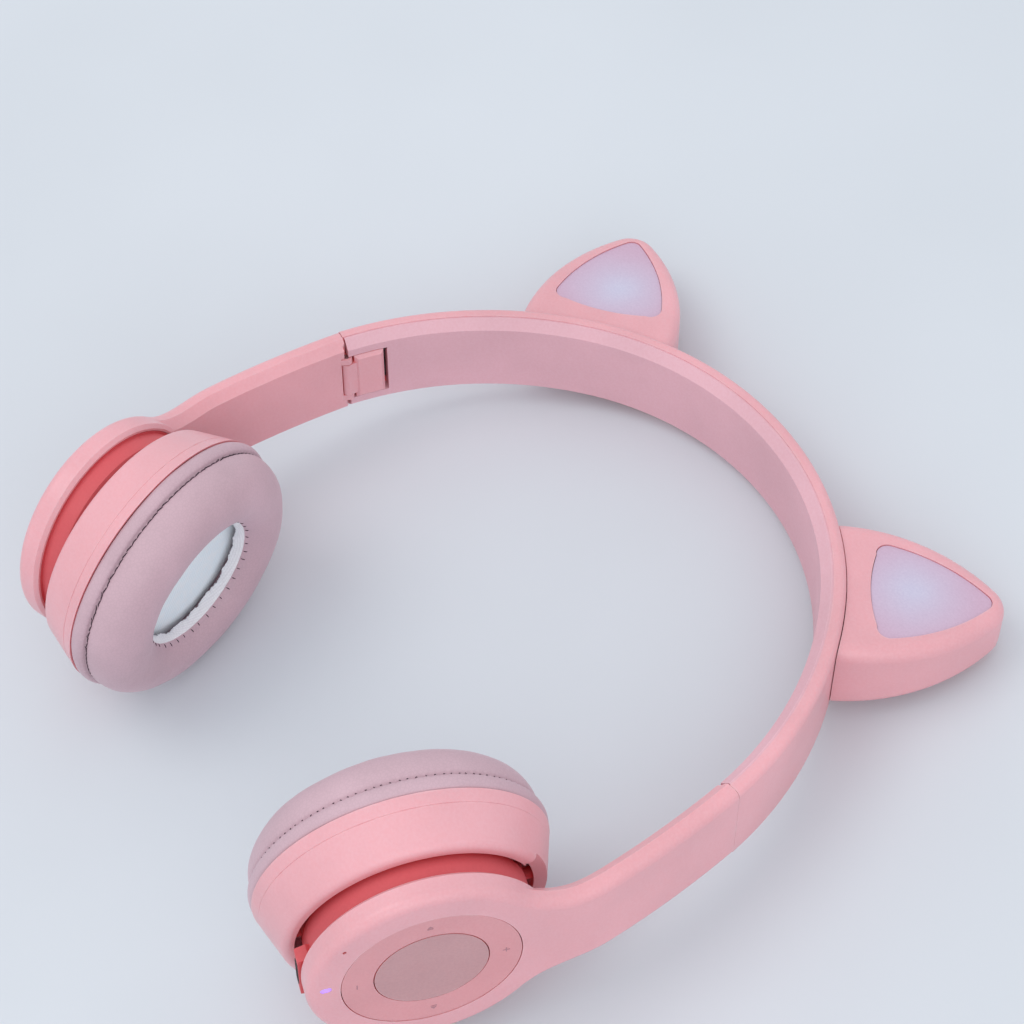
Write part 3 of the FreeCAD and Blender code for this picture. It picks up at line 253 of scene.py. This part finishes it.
def frosted(name, centre, radius, inner, outer, power):
    """Frosted diffuser lit from behind, brightest over its lamp."""
    material, tree, shader, where = new_material(name)
    away = node(tree, "VectorMath", {0: where, 1: tuple(centre)}, operation="DISTANCE").outputs["Value"]
    reach = math_node(tree, "DIVIDE", away, radius)
    grain = noise_at(tree, where, 1800.0, 2.0)
    cloud = noise_at(tree, where, 120.0, 3.0)
    drift = math_node(tree, "MULTIPLY", math_node(tree, "SUBTRACT", cloud, 0.5), 0.18)
    reach = math_node(tree, "ADD", reach, drift)
    between = tuple((a + b) / 2 for a, b in zip(linear(inner), linear(outer)))
    lit = ramp(tree, reach, [(0.0, linear(inner)), (0.45, between), (1.0, linear(outer))], "B_SPLINE")
    base = mixed(tree, 0.06, lit, ramp(tree, grain, [(0.3, grey(0.2)), (0.7, grey(1))]), "OVERLAY")
    tree.links.new(base, shader.inputs["Base Color"])
    tree.links.new(lit, shader.inputs["Emission Color"])
    strength = ramp(tree, reach, [(0.0, grey(1.0)), (1.0, grey(0.25))], "B_SPLINE")
    tree.links.new(math_node(tree, "MULTIPLY", strength, power), shader.inputs["Emission Strength"])
    tree.links.new(ramp(tree, cloud, [(0.3, grey(0.34)), (0.7, grey(0.48))]), shader.inputs["Roughness"])
    bump(tree, shader, grain, 0.15, 0.00005)
    return material


def metal(name, rgb, rough=0.3, brushed=0.6):
    material, tree, shader, where = new_material(name)
    streaks = node(tree, "Mapping", {"Vector": where, "Scale": (1, 1, 30)})
    lines = noise_at(tree, streaks.outputs["Vector"], 400.0, 4.0)
    base = linear(rgb)
    low = tuple(c * 0.8 for c in base[:3]) + (1,)
    tree.links.new(mixed(tree, lines, low, base), shader.inputs["Base Color"])
    tree.links.new(ramp(tree, lines, [(0.3, grey(rough - 0.08)), (0.7, grey(rough + 0.12))]),
                   shader.inputs["Roughness"])
    shader.inputs["Metallic"].default_value = 1.0
    bump(tree, shader, lines, brushed * 0.2, 0.00005)
    return material


def board(name, rgb):
    """Solder-masked board with traces showing through."""
    material, tree, shader, where = new_material(name)
    cells = node(tree, "TexVoronoi", {"Vector": where, "Scale": 700.0}, feature="F1", distance="CHEBYCHEV")
    traces = ramp(tree, cells.outputs["Distance"], [(0.42, grey(0)), (0.5, grey(1))])
    base = linear(rgb)
    light = tuple(min(1, c * 2.2 + 0.01) for c in base[:3]) + (1,)
    tree.links.new(mixed(tree, traces, base, light), shader.inputs["Base Color"])
    tree.links.new(ramp(tree, traces, [(0, grey(0.35)), (1, grey(0.5))]), shader.inputs["Roughness"])
    bump(tree, shader, traces, 0.3, 0.0001)
    return material


PINK = (232, 168, 175)
# deep red painted as shade into crevices and gaps
CREVICE_SHADE_RGB = (232, 92, 94)
looks = {
    "shell": moulded("pink_shell", PINK, glow=0.12, crevice_shade=CREVICE_SHADE_RGB),
    "ring": moulded("pink_ring", (222, 153, 158), rough=0.42, coat=0.05, wear=0.2, glow=0.10, grain=0.14,
                    crevice_shade=CREVICE_SHADE_RGB),
    "button": moulded("pink_button", (196, 148, 151), rough=0.46, coat=0.0, wear=0.2, glow=0.10, grain=0.16,
                      crevice_shade=CREVICE_SHADE_RGB),
    "icon": moulded("icon_ink", (176, 126, 134), rough=0.5, coat=0.0, wear=0),
    "liner": moulded("mauve_liner", (226, 176, 186), rough=0.52, coat=0.0, wear=0.15, grain=0.22),
    # painted shade: a deep red copy of the shell pink for the parts seen in the gaps behind the discs,
    # standing in for the shade and bounced light there
    "inner": moulded("pink_painted_gap_shade", (214, 88, 94), rough=0.55, coat=0.0, glow=0.10, wear=0, crevice_shade=(216, 56, 60)),
    "leather": leatherette("cushion_leatherette", (203, 170, 180)),
    "cloth": woven("speaker_cloth", (236, 249, 255), 0.00035, depth=0.35),
    "lining": woven("hole_lining", (240, 238, 242), 0.0006),
    "dark": moulded("dark_plastic", (38, 28, 31), rough=0.5, coat=0, wear=0.2),
    "steel": metal("steel", (190, 190, 194)),
    "magnet": metal("magnet_plate", (150, 150, 155), 0.35),
    "film": moulded("cone_film", (205, 205, 198), rough=0.25, coat=0.4, wear=0),
    "board": board("circuit_board", (12, 62, 34)),
    "battery": moulded("battery_pouch", (160, 162, 168), rough=0.3, coat=0.3, wear=0),
}
thread, tree, shader, where = new_material("dark_thread")
twist = node(tree, "TexWave", {"Vector": where, "Scale": 900.0, "Distortion": 1.0},
             bands_direction="DIAGONAL")
tree.links.new(ramp(tree, twist.outputs["Fac"], [(0, linear((40, 22, 34))), (1, linear((82, 50, 68)))]),
               shader.inputs["Base Color"])
bump(tree, shader, twist.outputs["Fac"], 0.5, 0.0001)
shader.inputs["Roughness"].default_value = 0.7
looks["thread"] = thread

for lens in ("left_ear_lens", "right_ear_lens"):
    low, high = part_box(lens)
    looks[lens] = frosted(lens + "_frosted", (low + high) / 2, 0.017, (194, 194, 216), (200, 164, 186), 0.05)
low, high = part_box("status_light")
looks["lamp"] = frosted("status_lamp", (low + high) / 2, 0.004, (226, 190, 255), (150, 90, 250), 0.9)

WEARS = {
    "shell": ["headband_shell", "*_ear_shell", "*_cup_housing", "*_hinge_block", "*_arm"],
    # the parts seen in the gaps, steel pins and jack included, wear the deep red painted shade
    "inner": ["*_hub", "*_pivot_pins", "audio_jack", "ring_carrier"],
    "ring": ["control_ring"],
    "button": ["centre_button"],
    "liner": ["headband_liner"],
    "dark": ["*_slider_strip", "*_cup_baffle", "*_cushion_ring", "*_driver_frame",
             "microphone", "charging_port"],
    "steel": ["headband_spring", "*_hinge_pin", "ear_screws", "control_switches",
              "button_switch"],
    "magnet": ["*_driver_magnet"],
    "film": ["*_driver_cone"],
    "board": ["*_ear_light_board", "control_board", "radio_module"],
    "battery": ["battery"],
    "lamp": ["status_light"],
    "cloth": ["*_speaker_cloth"],
    "lining": ["*_hole_lining"],
    "leather": ["*_cushion"],
    "left_ear_lens": ["left_ear_lens"],
    "right_ear_lens": ["right_ear_lens"],
}


def dress(name, look):
    piece = frame["nodes"][name]
    piece.data.materials.clear()
    piece.data.materials.append(looks[look])


for look, names in WEARS.items():
    for name in names:
        if name.startswith("*"):
            for side in SIGN:
                dress(side + name[1:], look)
        else:
            dress(name, look)

# ------------------------------------------------------------------ cushions, linings and cloths
# corners of the cushion's section: radius about the cup's axis and depth towards the head, in millimetres
CORNERS = [(20.5, 28.6), (26.0, 27.6), (33.6, 27.1), (35.5, 27.12), (36.05, 27.9), (36.25, 29.0),
           (36.1, 30.2), (35.6, 31.0), (35.2, 31.4), (35.1, 31.8), (35.1, 32.9), (34.8, 35.2), (33.5, 38.0),
           (31.3, 40.3), (28.3, 41.9), (25.0, 42.4), (22.0, 41.7), (19.8, 40.1),
           (18.5, 38.0), (18.7, 37.2), (20.4, 36.0), (21.8, 32.6)]
# the cloth strip's section, in the same way
LINING = [(18.5, 38.1), (18.2, 37.6), (17.9, 36.8), (17.75, 35.9), (17.7, 35.2),
          (18.05, 35.15), (18.1, 35.9), (18.25, 36.8), (18.55, 37.5), (18.8, 37.9)]
SEAM = (35.2, 31.4)
HOLE_EDGE = (18.5, 38.0)
# stitches round each seam and each hole, and points round the cushion
SEAM_STITCHES = 108
HOLE_STITCHES = 39
AROUND = 216
# each seam's thread: half length of a stitch and its jitter in pitches, slant and radius in millimetres
SEAM_THREAD = {"left": (0.64, 0.03, 0.07, 0.165), "right": (0.16, 0.2, 0.05, 0.10)}
CLOTH_DEPTH = 33.5


def curve_through(corners, spacing):
    """Closed smooth loop through the corners, cut into pieces of about the spacing given."""
    points = []
    count = len(corners)
    for i in range(count):
        before, here, there, after = (Vector(corners[(i + k) % count]) for k in (-1, 0, 1, 2))
        pieces = max(1, round((there - here).length / spacing))
        for k in range(pieces):
            t = k / pieces
            slope = (there - before) * t
            bend = (2 * before - 5 * here + 4 * there - after) * t * t
            turn = (3 * here - before - 3 * there + after) * t ** 3
            points.append(0.5 * (2 * here + slope + bend + turn))
    return points


def lathe(name, loop, count, place):
    """Closed ring: the loop of (radius, depth) in millimetres turned about the cup's axis."""
    verts, faces = [], []
    size = len(loop)
    for j in range(count):
        angle = math.tau * j / count
        for radius, depth in loop:
            verts.append((radius * math.cos(angle) * MM, radius * math.sin(angle) * MM, -depth * MM))
    for j in range(count):
        for i in range(size):
            a, b = j * size, (j + 1) % count * size
            faces.append((a + i, a + (i + 1) % size, b + (i + 1) % size, b + i))
    return new_piece(name, verts, faces, place)


def new_piece(name, verts, faces, place):
    mesh = bpy.data.meshes.new(name)
    mesh.from_pydata(verts, [], faces)
    work = bmesh.new()
    work.from_mesh(mesh)
    bmesh.ops.recalc_face_normals(work, faces=work.faces)
    work.to_mesh(mesh)
    work.free()
    mesh.shade_smooth()
    piece = bpy.data.objects.new(name, mesh)
    piece.matrix_world = place
    bpy.context.scene.collection.objects.link(piece)
    return piece


def puff(piece, pinned, frames=20, cap=2.0 * MM, zoom=10.0):
    """Inflates the piece by cloth simulation on an enlarged copy, with the pinned points held."""
    start = [v.co.copy() for v in piece.data.vertices]
    for vertex in piece.data.vertices:
        vertex.co *= zoom
    group = piece.vertex_groups.new(name="pinned")
    group.add([i for i, co in enumerate(start) if pinned(co)], 1.0, "REPLACE")
    cloth = piece.modifiers.new("puff", "CLOTH")
    settings = cloth.settings
    settings.quality = 6
    settings.mass = 0.25
    settings.tension_stiffness = 12
    settings.compression_stiffness = 8
    settings.bending_stiffness = 0.6
    settings.use_pressure = True
    settings.uniform_pressure_force = 4
    settings.vertex_group_mass = "pinned"
    settings.effector_weights.gravity = 0
    cloth.collision_settings.use_collision = False
    cloth.point_cache.frame_start = 1
    cloth.point_cache.frame_end = frames
    for step in range(1, frames + 1):
        bpy.context.scene.frame_set(step)
    done = piece.evaluated_get(bpy.context.evaluated_depsgraph_get())
    ends = [v.co / zoom for v in done.data.vertices]
    piece.modifiers.clear()
    piece.vertex_groups.clear()
    bpy.context.scene.frame_set(1)
    for vertex, a, b in zip(piece.data.vertices, start, ends):
        move = b - a
        if move.length > cap:
            move *= cap / move.length
        vertex.co = a + move


def refine(piece, levels=1):
    bend = piece.modifiers.new("subdivide", "SUBSURF")
    bend.levels = bend.render_levels = levels
    done = piece.evaluated_get(bpy.context.evaluated_depsgraph_get())
    mesh = bpy.data.meshes.new_from_object(done)
    piece.modifiers.clear()
    old = piece.data
    piece.data = mesh
    bpy.data.meshes.remove(old)
    mesh.name = piece.name
    mesh.shade_smooth()


def polar(co):
    """Radius and depth in millimetres and angle of a point in the cup's frame."""
    return math.hypot(co.x, co.y) / MM, -co.z / MM, math.atan2(co.y, co.x)


# the flat base, which lies on the cup's plate and stays smooth
BASE_DEPTH = 29.5
BASE_RADIUS = 34.8


def sew(piece, seed):
    """Presses in the sewn seam and the hole's stitched edge, with puckers, and makes the skin uneven."""
    mesh = piece.data
    moved = []
    for vertex in mesh.vertices:
        radius, depth, angle = polar(vertex.co)
        to_seam = math.hypot(radius - SEAM[0], depth - SEAM[1])
        to_hole = math.hypot(radius - HOLE_EDGE[0] - 0.4, depth - HOLE_EDGE[1] - 0.6)
        spot = Vector((seed, 0, 0)) + vertex.co * 70
        push = noise.noise(spot) * 0.22 + noise.noise(spot * 3.1) * 0.07
        push *= min(1.0, to_seam / 4.0)
        ripple = noise.noise(Vector((angle * 9, seed, 0)))
        push -= 0.62 * math.exp(-(to_seam / 0.42) ** 2)
        pucker = math.cos(angle * SEAM_STITCHES) * (0.10 + 0.08 * ripple)
        push -= pucker * math.exp(-((to_seam - 0.7) / 0.75) ** 2)
        push -= (0.07 + 0.05 * math.cos(angle * HOLE_STITCHES)) * math.exp(-(to_hole / 0.8) ** 2)
        if depth < BASE_DEPTH and radius < BASE_RADIUS:
            push = 0.0
        moved.append(vertex.co + vertex.normal * push * MM)
    for vertex, co in zip(mesh.vertices, moved):
        vertex.co = co


def ring_strands(surface, name, specs, thickness, place):
    """Short threads laid on a surface. Each spec is a list of points in the cup's frame, in metres."""
    verts, faces = [], []
    sides = 6
    for points in specs:
        path = []
        for point in points:
            spot, normal, _, _ = surface.find_nearest(point)
            path.append((spot + normal * thickness * 0.55, normal))
        base = len(verts)
        for k, (spot, normal) in enumerate(path):
            ahead = path[min(k + 1, len(path) - 1)][0] - path[max(k - 1, 0)][0]
            across = ahead.cross(normal).normalized()
            end = k in (0, len(path) - 1)
            girth = thickness * (0.35 if end else 1.0)
            sink = -normal * thickness * 1.3 if end else Vector()
            for i in range(sides):
                turn = math.tau * i / sides
                verts.append(spot + sink + (across * math.cos(turn) + normal * math.sin(turn)) * girth)
        for k in range(len(path) - 1):
            for i in range(sides):
                a, b = base + k * sides, base + (k + 1) * sides
                faces.append((a + i, a + (i + 1) % sides, b + (i + 1) % sides, b + i))
        faces.append([base + i for i in reversed(range(sides))])
        faces.append([base + (len(path) - 1) * sides + i for i in range(sides)])
    return new_piece(name, verts, faces, place)


def on_ring(radius, depth, angle):
    return Vector((radius * math.cos(angle) * MM, radius * math.sin(angle) * MM, -depth * MM))


def held(co):
    """Points of the cushion that don't inflate: its back and base, the seam, the edge of the hole."""
    radius, depth, _ = polar(co)
    at_seam = math.hypot(radius - SEAM[0], depth - SEAM[1]) < 0.5
    in_hole = radius < 19.2 and depth < 38.4
    inside = radius < 33.0 and depth < 35.0
    return depth < 29.0 or at_seam or in_hole or inside


def build_cushion(side, place):
    """The cushion's skin. Returns its surface in the cup's frame, for the threads to lie on."""
    cushion = lathe(side + "_cushion_cover", curve_through(CORNERS, 0.75), AROUND, place)
    puff(cushion, held)
    refine(cushion)
    sew(cushion, SIGN[side] * 5.0)
    skin = BVHTree.FromPolygons([v.co for v in cushion.data.vertices],
                                [p.vertices for p in cushion.data.polygons])
    finish(cushion, "leather", side + "_cup", side + "_cushion")
    return skin


def build_seam_thread(side, place, skin, chance):
    """Stitches along the sewn seam."""
    shown, jitter, slack, girth = SEAM_THREAD[side]
    stitches = []
    for i in range(SEAM_STITCHES):
        middle = math.tau * (i + 0.5 + chance.uniform(-1, 1) * jitter) / SEAM_STITCHES
        half = math.tau / SEAM_STITCHES * shown * chance.uniform(0.85, 1.0)
        slant = chance.uniform(-slack, slack)
        stitches.append([on_ring(SEAM[0] - 0.1 + slant * k, SEAM[1] + slant * k, middle + half * k)
                         for k in (-1, -0.5, 0, 0.5, 1)])
    thread = ring_strands(skin, side + "_seam_thread", stitches, girth * MM, place)
    finish(thread, "thread", side + "_cup", None)


def build_hole_stitches(side, place, skin, chance):
    """Short stitches over the edge of the hole."""
    stitches = []
    for i in range(HOLE_STITCHES):
        angle = math.tau * (i + 0.5) / HOLE_STITCHES + chance.uniform(-1, 1) * 0.012
        skew = chance.uniform(-1, 1) * 0.012
        reach = chance.uniform(0.85, 1.25)
        stitches.append([on_ring(HOLE_EDGE[0] + 0.05 + 0.8 * reach * k, HOLE_EDGE[1] + 0.1 + 1.0 * reach * k,
                                 angle + skew * k) for k in (0, 0.35, 0.7, 1.0)])
    ticks = ring_strands(skin, side + "_hole_stitches", stitches, 0.12 * MM, place)
    finish(ticks, "thread", side + "_cup", None)


def build_lining(side, place):
    """Frayed cloth strip sewn inside the hole."""
    strip = lathe(side + "_lining_strip", LINING, 180, place)
    refine(strip)
    for vertex in strip.data.vertices:
        radius, depth, angle = polar(vertex.co)
        low = max(0.0, (37.6 - depth) / 2.4)
        wave = noise.noise(Vector((math.cos(angle) * 4, math.sin(angle) * 4, SIGN[side])))
        frill = noise.noise(Vector((math.cos(angle) * 30, math.sin(angle) * 30, depth * 0.4)))
        out = 1 + (0.35 * wave + 0.16 * frill) * low / radius
        drop = 0.7 * low * (wave + 0.6 * frill) * MM
        vertex.co = Vector((vertex.co.x * out, vertex.co.y * out, vertex.co.z - drop))
    finish(strip, "lining", side + "_cup", side + "_hole_lining")


def build_cloth(side, place):
    """Cloth over the speaker, drawn over its frame, with a little slack."""
    rings, spokes, reach, swelling, thickness = 26, 96, 21.5, 0.5, 0.35
    verts, faces = [], []
    for drop in (0.0, thickness):
        base = len(verts)
        verts.append((0, 0, -(CLOTH_DEPTH + swelling - drop) * MM))
        for j in range(1, rings + 1):
            radius = reach * j / rings
            for i in range(spokes):
                angle = math.tau * i / spokes
                x, y = radius * math.cos(angle), radius * math.sin(angle)
                swell = swelling * (1 - (radius / reach) ** 2)
                swell += 0.10 * noise.noise(Vector((0.25 * x, 0.25 * y, SIGN[side])))
                verts.append((x * MM, y * MM, -(CLOTH_DEPTH + swell - drop) * MM))
        for i in range(spokes):
            faces.append((base, base + 1 + i, base + 1 + (i + 1) % spokes))
        for j in range(rings - 1):
            a, b = base + 1 + j * spokes, base + 1 + (j + 1) * spokes
            for i in range(spokes):
                faces.append((a + i, b + i, b + (i + 1) % spokes, a + (i + 1) % spokes))
    rim = 1 + (rings - 1) * spokes
    under = len(verts) // 2 + rim
    for i in range(spokes):
        faces.append((rim + i, rim + (i + 1) % spokes, under + (i + 1) % spokes, under + i))
    cloth = new_piece(side + "_cloth_cover", verts, faces, place)
    finish(cloth, "cloth", side + "_cup", side + "_speaker_cloth")


def finish(piece, look, body, node_name):
    """Sets the piece in the row frame, gives it its look, says what it rides on and hides the part it stands
    for, if one is named.
    """
    piece.data.transform(piece.matrix_world)
    piece.matrix_world = Matrix()
    piece.data.update()
    piece.data.materials.clear()
    piece.data.materials.append(looks[look])
    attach(piece, body)
    if node_name:
        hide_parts(node_name)


for side in SIGN:
    place, chance = cup_frame(side), Random(side)
    skin = build_cushion(side, place)
    build_seam_thread(side, place, skin, chance)
    build_hole_stitches(side, place, skin, chance)
    build_lining(side, place)
    build_cloth(side, place)

# ------------------------------------------------------------------ printed icons on the control ring
ICON_RADIUS = 17.6
ICON_HEIGHT = 0.05


def ring_level(x, y):
    """Height of the ring's sloping face: 0.5 mm below the disc at its inner edge, 0.12 mm at its outer."""
    return -0.5 + 0.38 * (math.hypot(x, y) - 13.75) / 7.55


def bar(x0, y0, x1, y1):
    return [(x0, y0), (x1, y0), (x1, y1), (x0, y1)]


ICONS = {
    (0, 1): [bar(-0.85, -0.14, -0.14, 0.14), bar(0.14, -0.14, 0.85, 0.14), bar(-0.14, -0.85, 0.14, 0.85)],
    (0, -1): [bar(-0.85, -0.14, 0.85, 0.14)],
    (-1, 0): [[(-0.75, 0), (0.15, -0.7), (0.15, 0.7)], bar(0.45, -0.7, 0.7, 0.7)],
    (1, 0): [[(0.75, 0), (-0.15, 0.7), (-0.15, -0.7)], bar(-0.7, -0.7, -0.45, 0.7)],
}
verts, faces = [], []
for (across, along), shapes in ICONS.items():
    for shape in shapes:
        base, count = len(verts), len(shape)
        for level in (-0.02, ICON_HEIGHT):
            for x, y in shape:
                px, py = across * ICON_RADIUS + x, along * ICON_RADIUS + y
                verts.append((px * MM, py * MM, (ring_level(px, py) + level) * MM))
        faces.append([base + i for i in reversed(range(count))])
        faces.append([base + count + i for i in range(count)])
        for i in range(count):
            j = (i + 1) % count
            faces.append((base + i, base + j, base + count + j, base + count + i))
icons = new_piece("ring_icons", verts, faces, disc_frame())
icons.data.shade_flat()
finish(icons, "icon", "control_ring", None)

# ------------------------------------------------------------------ floor, light, camera
bpy.ops.mesh.primitive_plane_add(size=12.0)
floor = bpy.context.object
floor.name = "floor"
material, tree, shader, where = new_material("pale_floor")
mottle = noise_at(tree, where, 6.0, 3.0)
tree.links.new(ramp(tree, mottle, [(0.3, linear((208, 213, 219))), (0.7, linear((214, 219, 225)))]),
               shader.inputs["Base Color"])
shader.inputs["Roughness"].default_value = 0.9
floor.data.materials.append(material)

world = bpy.data.worlds.new("studio")
bpy.context.scene.world = world
world.use_nodes = True
world.node_tree.nodes["Background"].inputs["Color"].default_value = (0.93, 0.96, 1.0, 1)
world.node_tree.nodes["Background"].inputs["Strength"].default_value = 0.92


def area_light(name, place, target, size, power, colour):
    data = bpy.data.lights.new(name, "AREA")
    data.shape = "DISK"
    data.size = size
    data.energy = power
    data.color = colour
    light = bpy.data.objects.new(name, data)
    light.location = place
    light.rotation_euler = (Vector(target) - Vector(place)).to_track_quat("-Z", "Y").to_euler()
    bpy.context.scene.collection.objects.link(light)


area_light("key", (-0.35, -0.45, 1.3), (0, 0, 0), 0.8, 3, (1.0, 0.985, 0.97))
area_light("fill", (0.9, -0.3, 0.8), (0, 0, 0.02), 1.0, 2.5, (0.98, 0.985, 1.0))

camera_data = bpy.data.cameras.new("camera")
camera_data.lens = 94.27
camera_data.sensor_width = 36
camera_data.clip_start = 0.01
camera = bpy.data.objects.new("camera", camera_data)
camera.location = (0.35605, -0.14581, 0.58674)
camera.rotation_euler = Euler([math.radians(a) for a in (35.335, 7.831, 55.775)])
bpy.context.scene.collection.objects.link(camera)
bpy.context.scene.camera = camera
bpy.context.scene.view_settings.view_transform = "Standard"
